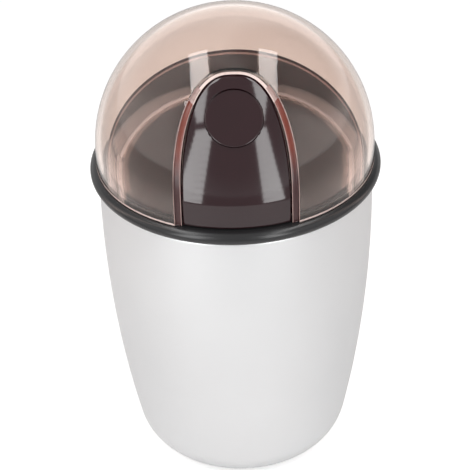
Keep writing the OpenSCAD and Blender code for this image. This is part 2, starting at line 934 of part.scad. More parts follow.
module rubber_feet() {
    color("#1a1a1a")
        around(4, foot_ring_r, 45)
            union() {
                cylinder(r = foot_r, h = shell_bottom_z);
                cylinder(r = foot_r * 0.5 - fit, h = base_top_z + 1);
            }
}

// The screws rise through the plate into the terminal tower
module base_screws() {
    color("silver")
        around(3, base_screw_ring_r, 90)
            translate([0, 0, shell_bottom_z])
                mirror([0, 0, 1])
                    screw(base_screw_r, base_t + base_screw_grip, base_screw_r * 1.8, base_screw_r * 0.8);
}

bush_tail = 5;
bush_lip_t = 1.2;
bush_proud = 1.6;
module cord_inlet() {
    wall_y = shell_r(inlet_z);
    in_y = shell_in_r(inlet_z - bush_r) - bush_lip_t / 2;
    color("#222222")
        translate([0, 0, inlet_z])
            rotate([-90, 0, 0])
                difference() {
                    union() {
                        translate([0, 0, in_y - bush_tail])
                            cylinder(r = bush_r, h = wall_y + bush_proud - in_y + bush_tail);
                        translate([0, 0, in_y - bush_proud])
                            cylinder(r = bush_flange_r, h = bush_lip_t);
                        translate([0, 0, shell_r(inlet_z + bush_flange_r) + fit])
                            cylinder(r = bush_flange_r, h = bush_proud);
                    }
                    cylinder(r = inlet_r, h = 2 * barrel_r);
                }
}

// Two posts and a bar that would grip the cable inside
clamp_y = 17;
post_r = 2;
post_h = 6;
clamp_bar = [16, 4, 2];
module cord_clamp() {
    color("#3b3b3b")
        translate([0, clamp_y, base_top_z]) {
            for (side = [-1, 1])
                translate([side * (clamp_bar[0] / 2 - post_r), 0, 0])
                    cylinder(r = post_r, h = post_h);
            translate([-clamp_bar[0] / 2, -clamp_bar[1] / 2, post_h])
                cube(clamp_bar);
        }
}

block_size = [16, 8, 7];
block_y = -18;
block_hole_r = 1.4;
module terminal_block() {
    color("ivory")
        translate([-block_size[0] / 2, block_y, base_top_z])
            difference() {
                cube(block_size);
                for (share = [1, 3])
                    translate([block_size[0] * share / 4, block_size[1] / 2, block_hole_r])
                        cylinder(r = block_hole_r, h = block_size[2]);
            }
}

fuse_r = 1.4;
fuse_len = 10;
module thermal_fuse() {
    color("#c8c8b8")
        translate([-fuse_len / 2, fuse_r - stator_r + fit, stator_top_z + fuse_r])
            rotate([0, 90, 0])
                cylinder(r = fuse_r, h = fuse_len);
}

capacitor_size = [13, 6, 8];
module suppressor_capacitor() {
    color("#a83a2a")
        translate([-capacitor_size[0] / 2, -capacitor_size[1] / 2, base_top_z])
            cube(capacitor_size);
}

outer_shell();
collar_ring();
top_deck();
inner_frame();
switch_hood();
hood_back_cover();
button_guide();
push_button();
button_spring();
switch_plunger();
micro_switch();
lid();
lid_magnet();
reed_switch();
grinding_bowl();
bowl_gasket();
shaft_seal();
blade();
blade_nut();
drive_shaft();
upper_bearing();
upper_bracket();
lower_bearing();
lower_bracket();
stator_core();
field_coils();
armature_core();
armature_windings();
commutator();
cooling_fan();
brush_holders();
carbon_brushes();
brush_springs();
motor_screws();
deck_screws();
rubber_mounts();
base_plate();
rubber_feet();
base_screws();
cord_inlet();
cord_clamp();
terminal_block();
thermal_fuse();
suppressor_capacitor();
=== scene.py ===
import json
import math

import bmesh
import bpy
from mathutils import Euler, Matrix, Vector


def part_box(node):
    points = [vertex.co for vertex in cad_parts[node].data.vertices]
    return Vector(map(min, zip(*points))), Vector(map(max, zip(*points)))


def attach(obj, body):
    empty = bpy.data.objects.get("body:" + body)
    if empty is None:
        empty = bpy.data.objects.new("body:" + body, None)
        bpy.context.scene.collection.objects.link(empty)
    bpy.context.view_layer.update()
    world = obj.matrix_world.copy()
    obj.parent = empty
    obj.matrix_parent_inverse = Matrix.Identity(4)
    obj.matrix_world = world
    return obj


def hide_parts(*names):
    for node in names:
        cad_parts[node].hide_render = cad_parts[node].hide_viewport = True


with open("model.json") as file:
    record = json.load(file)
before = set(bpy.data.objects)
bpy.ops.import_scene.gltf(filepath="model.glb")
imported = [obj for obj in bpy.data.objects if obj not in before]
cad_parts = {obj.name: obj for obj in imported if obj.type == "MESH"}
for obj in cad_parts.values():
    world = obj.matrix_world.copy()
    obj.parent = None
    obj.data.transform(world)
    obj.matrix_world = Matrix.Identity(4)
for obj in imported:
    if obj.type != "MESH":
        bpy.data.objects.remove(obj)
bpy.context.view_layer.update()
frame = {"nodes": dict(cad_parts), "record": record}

MM = 0.001
TAU = 2 * math.pi

# ---------------------------------------------------------------- sizes, in millimetres
# Levels and radii come from the frame, so that every piece sits where its CAD solid does.


def mm_box(node):
    lo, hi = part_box(node)
    return [v / MM for v in lo], [v / MM for v in hi]


collar_lo, collar_hi = mm_box("collar_ring")
lid_lo, lid_hi = mm_box("lid")
shell_lo, shell_hi = mm_box("outer_shell")
deck_lo, deck_hi = mm_box("top_deck")

COLLAR_R = collar_hi[0]
COLLAR_TOP = collar_hi[2]
SHELL_TOP = shell_hi[2]
COLLAR_H = COLLAR_TOP - SHELL_TOP
LID_R = lid_hi[0]
LID_FOOT = lid_lo[2]
DOME_Z = lid_hi[2] - LID_R
DECK_TOP = deck_hi[2]

LID_T = 1.8
LID_IN_R = LID_R - LID_T
HOOD_R = LID_IN_R - 1.4
HOOD_T = 2.2
HOOD_BACK = 12.8  # the hood's rear plane, in front of the axis

# The lid's opening: half width inside its lip, the lip's width, straight sides, and height above them
ARCH_W = 17.1
ARCH_LIP = 2.1
ARCH_SIDE = 10.0
ARCH_TOP = 34.8
ARCH_POWER = 2.5  # 2 would be an ellipse
ARCH_ROUND_LEN = 75.0  # length given to the round part when points are spread along the outline
LIP_DROP = 1.3

NOSE_R = HOOD_R + 2.2
NOSE_PLAY = 0.3
NOSE_FOOT = COLLAR_TOP + 0.5
NOSE_FOOT_H = 9.0
NOSE_ARC_R = 65.0
NOSE_ROUND_R = 0.5
NOSE_ROOT = 1.0  # how deep the nose's sides reach below its face and below the hood's

BUTTON_R = 9.0
BUTTON_PLAY = 0.07
BUTTON_ELEV = math.radians(40.5)  # where the button sits, seen from the dome's centre
BUTTON_TILT = math.radians(42)  # the lean of its axis
BUTTON_SINK = 0.55
BUTTON_DISH = 0.4
BUTTON_EDGE = 0.3
BUTTON_LEN = 6.6
FLANGE_W = 0.9
FLANGE_H = 1.0
STEM_R = 2.4
STEM_LEN = 4.0
HOLE_DEPTH = 24.0

BARREL_R = 44.8
BARREL_Z = 98.0
SIDE_ARC_R = 418.0
BASE_ROUND_R = 15.4
SHELL_BOTTOM = 2.2
SHELL_T = 0.8

COLLAR_IN_R = 36.0
COLLAR_EDGE = 0.4
SKIRT_PLAY = 0.2
SKIRT_T = 1.4
SKIRT_H = 7.0

INLET_HOLE_R = 4.7
INLET_HOLE_Y = (25.0, 55.0)

# ---------------------------------------------------------------- materials

# The part of a noise's range that the colour and the roughness follow
NOISE_LOW, NOISE_HIGH = 0.3, 0.7
FINE_BUMP = 0.0001


def new_material(name):
    mat = bpy.data.materials.new(name)
    mat.use_nodes = True
    nodes = mat.node_tree.nodes
    return mat, nodes, mat.node_tree.links, nodes["Principled BSDF"]


def noise_node(nodes, links, scale, detail=3.0, stretch=(1, 1, 1)):
    coord = nodes.new("ShaderNodeTexCoord")
    mapping = nodes.new("ShaderNodeMapping")
    mapping.inputs["Scale"].default_value = stretch
    noise = nodes.new("ShaderNodeTexNoise")
    noise.inputs["Scale"].default_value = scale
    noise.inputs["Detail"].default_value = detail
    links.new(coord.outputs["Object"], mapping.inputs["Vector"])
    links.new(mapping.outputs["Vector"], noise.inputs["Vector"])
    return noise


def vary(nodes, links, noise, socket, low, high):
    ramp = nodes.new("ShaderNodeMapRange")
    ramp.inputs["From Min"].default_value = NOISE_LOW
    ramp.inputs["From Max"].default_value = NOISE_HIGH
    ramp.inputs["To Min"].default_value = low
    ramp.inputs["To Max"].default_value = high
    links.new(noise.outputs[0], ramp.inputs["Value"])
    links.new(ramp.outputs["Result"], socket)


def vary_colour(nodes, links, noise, socket, dark, light):
    ramp = nodes.new("ShaderNodeValToRGB")
    ramp.color_ramp.elements[0].position = NOISE_LOW
    ramp.color_ramp.elements[0].color = (*dark, 1)
    ramp.color_ramp.elements[1].position = NOISE_HIGH
    ramp.color_ramp.elements[1].color = (*light, 1)
    links.new(noise.outputs[0], ramp.inputs["Fac"])
    links.new(ramp.outputs["Color"], socket)


def add_bump(nodes, links, noise, shader, strength, distance):
    bump = nodes.new("ShaderNodeBump")
    bump.inputs["Strength"].default_value = strength
    bump.inputs["Distance"].default_value = distance
    links.new(noise.outputs[0], bump.inputs["Height"])
    links.new(bump.outputs["Normal"], shader.inputs["Normal"])


def plain(name, dark, light, rough, metallic=0.0, scale=900, bump=0.06, stretch=(1, 1, 1), specular=0.5):
    """A moulded, cast or drawn surface: slight colour and roughness variation and a fine bump."""
    mat, nodes, links, shader = new_material(name)
    shader.inputs["Metallic"].default_value = metallic
    shader.inputs["Specular IOR Level"].default_value = specular
    noise = noise_node(nodes, links, scale, stretch=stretch)
    vary_colour(nodes, links, noise, shader.inputs["Base Color"], dark, light)
    vary(nodes, links, noise, shader.inputs["Roughness"], rough[0], rough[1])
    add_bump(nodes, links, noise, shader, bump, FINE_BUMP)
    return mat


def satin_steel():
    """Steel with faint clouds of tone and a fine upright grain."""
    mat, nodes, links, shader = new_material("satin_steel")
    shader.inputs["Metallic"].default_value = 1.0
    cloud = noise_node(nodes, links, 22, detail=4)
    dark, light = (0.76, 0.768, 0.775), (0.79, 0.798, 0.805)
    vary_colour(nodes, links, cloud, shader.inputs["Base Color"], dark, light)
    vary(nodes, links, cloud, shader.inputs["Roughness"], 0.36, 0.44)
    grain = noise_node(nodes, links, 700, detail=2, stretch=(1, 1, 0.25))
    add_bump(nodes, links, grain, shader, 0.05, FINE_BUMP)
    return mat


def gloss_black(name, colour, rough, haze, specular=0.5):
    """A moulded gloss with a slightly wavy face; haze is the spread of its roughness."""
    mat, nodes, links, shader = new_material(name)
    shader.inputs["IOR"].default_value = 1.58
    shader.inputs["Specular IOR Level"].default_value = specular
    cloud = noise_node(nodes, links, 60, detail=3)
    dark = tuple(c * 0.9 for c in colour)
    light = tuple(c * 1.1 for c in colour)
    vary_colour(nodes, links, cloud, shader.inputs["Base Color"], dark, light)
    vary(nodes, links, cloud, shader.inputs["Roughness"], rough - haze / 2, rough + haze / 2)
    wave = noise_node(nodes, links, 35, detail=1)
    add_bump(nodes, links, wave, shader, 0.05, 0.0004)
    return mat


def tinted_clear():
    """The lid's clear plastic with its pale brown tint."""
    mat, nodes, links, shader = new_material("tinted_clear")
    shader.inputs["Transmission Weight"].default_value = 1.0
    shader.inputs["IOR"].default_value = 1.52
    haze = noise_node(nodes, links, 25, detail=2)
    dark, light = (0.775, 0.668, 0.614), (0.79, 0.682, 0.628)
    vary_colour(nodes, links, haze, shader.inputs["Base Color"], dark, light)
    vary(nodes, links, haze, shader.inputs["Roughness"], 0.0, 0.03)
    return mat


# Painted glow of light in the lid's tint: its colour near the foot and higher up
PAINTED_GLOW_LOW = (0.06, 0.022, 0.023)
PAINTED_GLOW_HIGH = (0.19, 0.034, 0.019)
PAINTED_GLOW_FADE = (COLLAR_TOP + 16, COLLAR_TOP + 25)  # heights between which the first turns into the second


def painted_edge_glow():
    """Painted glow on the side of the lid's opening, standing for light that gathers in the tint: red above,
    darker towards the foot.
    """
    mat, nodes, links, shader = new_material("painted_edge_glow")
    shader.inputs["Transmission Weight"].default_value = 0.2
    shader.inputs["IOR"].default_value = 1.46
    shader.inputs["Roughness"].default_value = 0.25
    coord = nodes.new("ShaderNodeTexCoord")
    split = nodes.new("ShaderNodeSeparateXYZ")
    links.new(coord.outputs["Object"], split.inputs["Vector"])
    rise = nodes.new("ShaderNodeMapRange")
    rise.inputs["From Min"].default_value = PAINTED_GLOW_FADE[0] * MM
    rise.inputs["From Max"].default_value = PAINTED_GLOW_FADE[1] * MM
    links.new(split.outputs["Z"], rise.inputs["Value"])
    ramp = nodes.new("ShaderNodeValToRGB")
    ramp.color_ramp.elements[0].color = (*PAINTED_GLOW_LOW, 1)
    ramp.color_ramp.elements[1].color = (*PAINTED_GLOW_HIGH, 1)
    links.new(rise.outputs["Result"], ramp.inputs["Fac"])
    links.new(ramp.outputs["Color"], shader.inputs["Base Color"])
    return mat


STEEL = satin_steel()
HOOD_BLACK = gloss_black("hood_black", (0.018, 0.004, 0.006), 0.09, 0.02)
COLLAR_BLACK = gloss_black("collar_black", (0.020, 0.020, 0.021), 0.24, 0.04, specular=0.35)
LID_CLEAR = tinted_clear()
LID_PAINTED_GLOW = painted_edge_glow()
# Painted highlight lines and a painted shade line, the dark rim: narrow strips of the lid's and the hood's
# edges
LID_PAINTED_GLINT = plain("edge_painted_glint", (0.66, 0.53, 0.50), (0.74, 0.60, 0.56), (0.25, 0.35))
LID_FAINT_GLINT = plain("edge_faint_glint", (0.30, 0.20, 0.185), (0.37, 0.25, 0.23), (0.25, 0.35))
HOOD_PAINTED_GLINT = plain("hood_painted_glint", (0.30, 0.20, 0.185), (0.38, 0.26, 0.24), (0.3, 0.4))
HOOD_PAINTED_SHADE = plain("hood_painted_shade", (0.030, 0.012, 0.014), (0.040, 0.017, 0.019), (0.5, 0.6), specular=0.0)

# name, darkest and lightest colour, roughness from and to, metallic, noise scale, bump, noise stretch
PLAIN_SLOTS = (
    ("black_plastic", (0.035, 0.035, 0.036), (0.05, 0.05, 0.05), (0.4, 0.5)),
    ("bowl_steel", (0.62, 0.62, 0.62), (0.70, 0.70, 0.70), (0.16, 0.24), 1.0, 300, 0.03, (1, 1, 8)),
    ("blade_steel", (0.55, 0.55, 0.56), (0.66, 0.66, 0.67), (0.22, 0.34), 1.0, 500, 0.08, (0.1, 1, 1)),
    ("spring_steel", (0.55, 0.55, 0.56), (0.66, 0.66, 0.66), (0.18, 0.28), 1.0, 800),
    ("core_steel", (0.18, 0.18, 0.19), (0.34, 0.34, 0.36), (0.35, 0.5), 1.0, 60, 0.3, (0.02, 0.02, 30)),
    ("copper", (0.42, 0.16, 0.06), (0.62, 0.26, 0.11), (0.22, 0.36), 0.9, 90, 0.5, (0.3, 0.3, 14)),
    ("bronze", (0.42, 0.28, 0.12), (0.55, 0.38, 0.18), (0.38, 0.55), 1.0, 1400, 0.2),
    ("bracket_metal", (0.42, 0.42, 0.43), (0.55, 0.55, 0.55), (0.4, 0.55), 1.0, 700, 0.2),
    ("carbon", (0.02, 0.02, 0.022), (0.045, 0.045, 0.047), (0.5, 0.7), 0.0, 1500, 0.25),
    ("blue_plastic", (0.03, 0.07, 0.14), (0.045, 0.10, 0.18), (0.35, 0.45)),
    ("pale_plastic", (0.66, 0.64, 0.57), (0.76, 0.74, 0.67), (0.38, 0.5)),
    ("red_plastic", (0.36, 0.035, 0.03), (0.46, 0.06, 0.05), (0.2, 0.3)),
    ("magnet", (0.05, 0.05, 0.055), (0.09, 0.09, 0.095), (0.4, 0.55), 0.6, 900, 0.2),
    ("black_rubber", (0.020, 0.020, 0.021), (0.032, 0.032, 0.033), (0.6, 0.75), 0.0, 1200, 0.25),
)
SLOT_MATERIALS = {
    "shell_steel": STEEL,
    "black_gloss": HOOD_BLACK,
    "collar_black": COLLAR_BLACK,
    "tinted_clear": LID_CLEAR,
}
SLOT_MATERIALS.update((row[0], plain(*row)) for row in PLAIN_SLOTS)

# ---------------------------------------------------------------- mesh helpers


def make_object(name, verts, faces, material, body, node, slot):
    """A smooth mesh, given in millimetres, that rides on a body and stands for a node."""
    mesh = bpy.data.meshes.new(name)
    mesh.from_pydata([(x * MM, y * MM, z * MM) for x, y, z in verts], [], faces)
    mesh.validate()
    obj = bpy.data.objects.new(name, mesh)
    bpy.context.collection.objects.link(obj)
    mesh.materials.append(material)
    for poly in mesh.polygons:
        poly.use_smooth = True
    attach(obj, body)
    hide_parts(node)
    return obj


WELD = 1e-7


def recalc(obj):
    """Joins points that coincide and turns all faces outwards."""
    bm = bmesh.new()
    bm.from_mesh(obj.data)
    bmesh.ops.remove_doubles(bm, verts=bm.verts, dist=WELD)
    bmesh.ops.recalc_face_normals(bm, faces=bm.faces)
    bm.to_mesh(obj.data)
    bm.free()


def subtract(cutter, *pieces):
    """Cuts the cutter's shape out of the pieces and removes it."""
    for piece in pieces:
        cut = piece.modifiers.new("cut", "BOOLEAN")
        cut.object = cutter
        cut.operation = "DIFFERENCE"
        cut.solver = "EXACT"
        bpy.context.view_layer.objects.active = piece
        bpy.ops.object.modifier_apply(modifier="cut")
    bpy.data.objects.remove(cutter, do_unlink=True)


def lathe(profile, steps):
    """Turns a closed (r, z) outline about Z; points at r = 0 become single poles."""
    verts, rings = [], []
    for r, z in profile:
        if r < 1e-6:
            rings.append([len(verts)])
            verts.append((0, 0, z))
        else:
            first = len(verts)
            turns = [TAU * i / steps for i in range(steps)]
            verts += [(r * math.cos(a), r * math.sin(a), z) for a in turns]
            rings.append(list(range(first, first + steps)))
    faces = []
    count = len(rings)
    for k in range(count):
        a, b = rings[k], rings[(k + 1) % count]
        if len(a) == 1 and len(b) == 1:
            continue
        for i in range(steps):
            j = (i + 1) % steps
            if len(a) == 1:
                faces.append((a[0], b[i], b[j]))
            elif len(b) == 1:
                faces.append((a[i], a[j], b[0]))
            else:
                faces.append((a[i], a[j], b[j], b[i]))
    return verts, faces


def arc(cx, cz, r, start, end, steps):
    """Points on an arc, from start to end in degrees."""
    turns = [math.radians(start + (end - start) * i / steps) for i in range(steps + 1)]
    return [(cx + r * math.cos(a), cz + r * math.sin(a)) for a in turns]


def rows_outward(count, power):
    """Shares of the way from a pole to the edge, closer together towards the edge."""
    return [1 - (1 - k / count) ** power for k in range(1, count)]


# ---------------------------------------------------------------- body shell
# Its side is one long arc, widest at BARREL_Z, that runs into the rounding at the bottom.
BODY_STEPS = 256
ROUND_ROWS, SIDE_ROWS = 24, 60
ROUND_POWER = 1.6

side_cx = BARREL_R - SIDE_ARC_R
round_cx = side_cx + math.sqrt((SIDE_ARC_R - BASE_ROUND_R) ** 2 - (BARREL_Z - BASE_ROUND_R) ** 2)
tangent_z = BARREL_Z + SIDE_ARC_R * (BASE_ROUND_R - BARREL_Z) / (SIDE_ARC_R - BASE_ROUND_R)


def shell_r(z, inset=0.0):
    """Radius of the shell at one height, or of a surface inside it."""
    if z >= tangent_z:
        return side_cx + math.sqrt((SIDE_ARC_R - inset) ** 2 - (z - BARREL_Z) ** 2)
    return round_cx + math.sqrt((BASE_ROUND_R - inset) ** 2 - (BASE_ROUND_R - z) ** 2)


def body_shell():
    rise = tangent_z - SHELL_BOTTOM
    levels = [SHELL_BOTTOM + rise * (i / ROUND_ROWS) ** ROUND_POWER for i in range(ROUND_ROWS)]
    levels += [tangent_z + (SHELL_TOP - tangent_z) * i / SIDE_ROWS for i in range(SIDE_ROWS + 1)]
    outer = [(shell_r(z), z) for z in levels]
    inner = [(shell_r(z, SHELL_T), z) for z in reversed(levels)]
    mesh = lathe(outer + inner, BODY_STEPS)
    return make_object("body_sleeve", *mesh, STEEL, "base", "outer_shell", "shell_steel")


def inlet_cutter():
    """The hole for the cord's inlet bush, at the back."""
    lo, hi = mm_box("cord_inlet")
    near, far = INLET_HOLE_Y
    place = (0, (near + far) / 2 * MM, (lo[2] + hi[2]) / 2 * MM)
    bpy.ops.mesh.primitive_cylinder_add(vertices=64, radius=INLET_HOLE_R * MM, depth=(far - near) * MM,
                                        location=place, rotation=(math.pi / 2, 0, 0))
    return bpy.context.object


sleeve = body_shell()
recalc(sleeve)
subtract(inlet_cutter(), sleeve)

# ---------------------------------------------------------------- collar


def collar():
    """A rounded bead on the shell's top, and a skirt that stands inside the shell."""
    bead = COLLAR_H / 2
    outline = [(COLLAR_IN_R, SHELL_TOP), (COLLAR_R - bead, SHELL_TOP)]
    outline += arc(COLLAR_R - bead, SHELL_TOP + bead, bead, -90, 90, 24)[1:]
    outline += arc(COLLAR_IN_R + COLLAR_EDGE, COLLAR_TOP - COLLAR_EDGE, COLLAR_EDGE, 90, 180, 4)
    out_r = shell_r(SHELL_TOP, SHELL_T) - SKIRT_PLAY
    in_r, foot = out_r - SKIRT_T, SHELL_TOP - SKIRT_H
    skirt = [(in_r, foot), (out_r, foot), (out_r, SHELL_TOP), (in_r, SHELL_TOP)]
    verts, faces = lathe(outline, BODY_STEPS)
    more, quads = lathe(skirt, BODY_STEPS)
    shift = len(verts)
    faces += [tuple(i + shift for i in f) for f in quads]
    return make_object("collar_bead", verts + more, faces, COLLAR_BLACK, "base", "collar_ring", "collar_black")


recalc(collar())

# ---------------------------------------------------------------- lid
# The lid is laid out on a flat chart: a point's distance from the chart's middle is its way down
# the dome and the skirt.
QUARTER = LID_R * math.pi / 2
LID_POLE = (0.0, QUARTER * 0.22)  # the middle that the lid's rows run out from
LID_ROWS, LID_POWER = 64, 1.25
ARCH_STEPS = 220
FOOT_STEPS = 360
# Rows of the lid's edge: its outer rounding, the thinned lip's face and half of it, and the lip's rounding
OUTER_ROUND = (0, 1)
LIP_FACE = (3, 7)
LIP_HALF = 6
LIP_ROUND = (7, 8)
# Rows of the painted highlight line round the foot
FOOT_GLINT = (-1, 1)
# Shares of the half width at which the lip's face turns from the pale painted highlight to the dim one and
# from the dim one to the red painted glow
PALE_GLINT_TO, RED_GLOW_FROM = 0.58, 0.72
# Kinds of edge face: clear, red painted glow, pale painted highlight, dim painted highlight
CLEAR, RED_GLOW, PALE_GLINT, DIM_GLINT = range(4)


def chart(x, z, r):
    """Where a point (x, z) on the front of a dome of radius r lies on the chart."""
    if z < DOME_Z:
        s, ring_r = QUARTER + (DOME_Z - z), r
    else:
        polar = math.acos(min(1, (z - DOME_Z) / r))
        s, ring_r = LID_R * polar, r * math.sin(polar)
    side = math.asin(max(-1, min(1, x / ring_r)))
    return s * math.sin(side), -s * math.cos(side)


def on_dome(q, r):
    """The point of the dome of radius r, or of its skirt, that lies at q on the chart."""
    s = math.hypot(*q)
    if s < 1e-9:
        return (0, 0, DOME_Z + r)
    ux, uy = q[0] / s, q[1] / s
    if s <= QUARTER:
        polar = s / LID_R
        return (r * math.sin(polar) * ux, r * math.sin(polar) * uy, DOME_Z + r * math.cos(polar))
    return (r * ux, r * uy, DOME_Z - (s - QUARTER))


def to_power(v):
    """Turns a cosine or sine into that of the opening's full round."""
    return math.copysign(abs(v) ** (2 / ARCH_POWER), v)


def arch_at(t, half_w, top_h, foot):
    """A point on the opening's outline: t runs 0..1 from the right foot over the top to the left foot."""
    side_len = ARCH_SIDE + COLLAR_TOP - foot
    total = 2 * side_len + ARCH_ROUND_LEN
    d = t * total
    if d <= side_len:
        return half_w, foot + d
    if d >= side_len + ARCH_ROUND_LEN:
        return -half_w, foot + (total - d)
    a = math.pi * (d - side_len) / ARCH_ROUND_LEN
    return half_w * to_power(math.cos(a)), COLLAR_TOP + ARCH_SIDE + top_h * to_power(math.sin(a))


def lid_loop(half_w, top_h, foot, r):
    """The lid's whole edge at one depth: up and over the opening, then round the back."""
    loop = []
    for i in range(ARCH_STEPS + 1):
        x, z = arch_at(i / ARCH_STEPS, half_w, top_h, foot)
        loop.append(chart(x, z, r))
    side = math.asin(half_w / r)
    s = QUARTER + DOME_Z - foot
    for i in range(1, FOOT_STEPS):
        a = -side - (TAU - 2 * side) * i / FOOT_STEPS
        loop.append((s * math.sin(a), -s * math.cos(a)))
    return loop


def edge_material(i, row):
    """Painted light on the lip: a red painted glow between two dim painted highlight lines on the opening's
    steep sides, and pale painted highlights round its top; a pale painted highlight line runs round the foot.
    """
    def in_rows(span, more=0):
        return span[0] <= row < span[1] + more

    if i >= ARCH_STEPS:
        return PALE_GLINT if in_rows(FOOT_GLINT) else CLEAR
    across = abs(arch_at((i + 0.5) / ARCH_STEPS, 1, 1, LID_FOOT)[0])
    if across > RED_GLOW_FROM:
        if in_rows(LIP_FACE):
            return RED_GLOW
        return DIM_GLINT if in_rows(OUTER_ROUND) or in_rows(LIP_ROUND) else CLEAR
    if in_rows(LIP_ROUND, 1) or (across < PALE_GLINT_TO and row == LIP_HALF):
        return PALE_GLINT
    return DIM_GLINT if across >= PALE_GLINT_TO and in_rows(LIP_FACE) else CLEAR


def lid_edge():
    """The rows of the lid's edge, from outside to inside: radius, half width, top, and rise at the foot."""
    mid_r = LID_R - LID_T / 2
    wide, narrow = ARCH_W + ARCH_LIP, ARCH_W
    high, low = ARCH_TOP, ARCH_TOP - LIP_DROP
    return [
        (LID_R, wide + 0.35, high + 0.35, 0.35),
        (LID_R - 0.10, wide + 0.10, high + 0.10, 0.10),
        (LID_R - 0.35, wide, high, 0.0),
        (mid_r + 0.25, wide - 0.02, high - 0.02, 0.0),
        (mid_r + 0.05, wide - 0.15, high - 0.08, 0.0),
        (mid_r, wide - 0.45, high - 0.16, 0.0),
        (mid_r, (wide + narrow) / 2, (high + low) / 2, 0.0),
        (mid_r, narrow + 0.35, low + 0.30, 0.0),
        (mid_r - 0.10, narrow + 0.10, low + 0.08, 0.0),
        (mid_r - 0.30, narrow, low, 0.0),
        (LID_IN_R + 0.30, narrow, low, 0.0),
        (LID_IN_R + 0.10, narrow + 0.10, low + 0.10, 0.10),
        (LID_IN_R, narrow + 0.35, low + 0.35, 0.35),
    ]


def lid():
    """A sheet from the outer pole to the edge, the edge's rows, and a sheet back to the inner pole."""
    edge = lid_edge()
    shares = rows_outward(LID_ROWS, LID_POWER)
    verts, rows, faces, painted_edge_faces = [], [], [], []

    def add_row(spec, share=1.0):
        r, half_w, top_h, rise = spec
        rows.append(len(verts))
        for qx, qy in lid_loop(half_w, top_h, LID_FOOT + rise, r):
            x = LID_POLE[0] + (qx - LID_POLE[0]) * share
            y = LID_POLE[1] + (qy - LID_POLE[1]) * share
            verts.append(on_dome((x, y), r))

    verts.append(on_dome(LID_POLE, LID_R))
    for share in shares:
        add_row(edge[0], share)
    for spec in edge:
        add_row(spec)
    for share in reversed(shares):
        add_row(edge[-1], share)
    under_pole = len(verts)
    verts.append(on_dome(LID_POLE, LID_IN_R))
    count = ARCH_STEPS + FOOT_STEPS
    for i in range(count):
        j = (i + 1) % count
        faces.append((0, rows[0] + i, rows[0] + j))
        faces.append((under_pole, rows[-1] + j, rows[-1] + i))
        for k, (a, b) in enumerate(zip(rows, rows[1:])):
            # faces of the edge that carry painted light get their painted glow or painted highlight material
            kind = edge_material(i, k - len(shares))
            if kind != CLEAR:
                painted_edge_faces.append((len(faces), kind))
            faces.append((a + i, b + i, b + j, a + j))
    piece = make_object("dome_lid", verts, faces, LID_CLEAR, "lid", "lid", "tinted_clear")
    for material in (LID_PAINTED_GLOW, LID_PAINTED_GLINT, LID_FAINT_GLINT):
        piece.data.materials.append(material)
    for k, kind in painted_edge_faces:
        piece.data.polygons[k].material_index = kind
    return piece


lid_piece = lid()
recalc(lid_piece)

# ---------------------------------------------------------------- hood
HOOD_ARC_ROWS, HOOD_SKIRT_ROWS, HOOD_COLUMNS = 240, 24, 110
# The rear edge: a painted highlight line, then a painted shade line (the dark rim), as angles seen from the
# dome's centre
PAINTED_GLINT_ANGLE = 0.8 / HOOD_R
PAINTED_SHADE_ANGLE = 1.2 / HOOD_R
# Their columns, counted from the last one on the sphere
PAINTED_GLINT_COLUMNS = (-2, -1)
PAINTED_SHADE_COLUMNS = (-1, 3)
# Three points round the rear edge: outwards from it, and forwards of the rear plane
REAR_ROUND = ((0.05, 0.25), (-0.15, 0.0), (-0.5, 0.0))


def hood():
    """A dome on a skirt, cut off behind at a plane, with a rounded rear edge that carries a painted highlight
    line and a painted shade line.
    """
    columns = HOOD_COLUMNS
    back = math.acos(HOOD_BACK / HOOD_R)
    # one profile of (radius, y), from the front pole out to the rear edge and back inside
    angles = [(back - PAINTED_SHADE_ANGLE - PAINTED_GLINT_ANGLE) * k / (columns - 2) for k in range(columns - 1)]
    angles.append(back - PAINTED_SHADE_ANGLE)
    profile = [(HOOD_R * math.sin(a), -HOOD_R * math.cos(a)) for a in angles]
    rim = HOOD_R * math.sin(back)
    profile += [(rim + out, -HOOD_BACK - forward) for out, forward in REAR_ROUND]
    in_r = HOOD_R - HOOD_T
    in_back = math.acos(HOOD_BACK / in_r)
    angles = [in_back * k / columns for k in range(columns, -1, -1)]
    profile += [(in_r * math.sin(a), -in_r * math.cos(a)) for a in angles]
    # its turns about the Y axis, with how far the skirt's rows lie below the dome's foot
    rise = DOME_Z - DECK_TOP
    skirt = [(0.0, DECK_TOP + rise * i / HOOD_SKIRT_ROWS - DOME_Z) for i in range(HOOD_SKIRT_ROWS)]
    turns = skirt + [(math.pi * i / HOOD_ARC_ROWS, 0.0) for i in range(HOOD_ARC_ROWS + 1)]
    turns += [(math.pi, drop) for _, drop in reversed(skirt)]
    verts, faces, lines = [], [], []
    for a, drop in turns:
        verts += [(r * math.cos(a), y, DOME_Z + r * math.sin(a) + drop) for r, y in profile]
    width = len(profile)
    for i in range(len(turns) - 1):
        for k in range(width - 1):
            # the rear edge's columns get the painted highlight and the painted shade materials
            for kind, (first, end) in enumerate((PAINTED_GLINT_COLUMNS, PAINTED_SHADE_COLUMNS), 1):
                if first <= k - columns < end:
                    lines.append((len(faces), kind))
            a, b = i * width + k, (i + 1) * width + k
            faces.append((a, a + 1, b + 1, b))
    # the two flat ends at the deck
    for row in (0, (len(turns) - 1) * width):
        for k in range(columns + len(REAR_ROUND) - 1):
            faces.append((row + k, row + k + 1, row + width - 2 - k, row + width - 1 - k))
    piece = make_object("front_hood", verts, faces, HOOD_BLACK, "base", "switch_hood", "black_gloss")
    piece.data.materials.append(HOOD_PAINTED_GLINT)
    piece.data.materials.append(HOOD_PAINTED_SHADE)
    for k, kind in lines:
        piece.data.polygons[k].material_index = kind
    return piece


hood_piece = hood()
recalc(hood_piece)

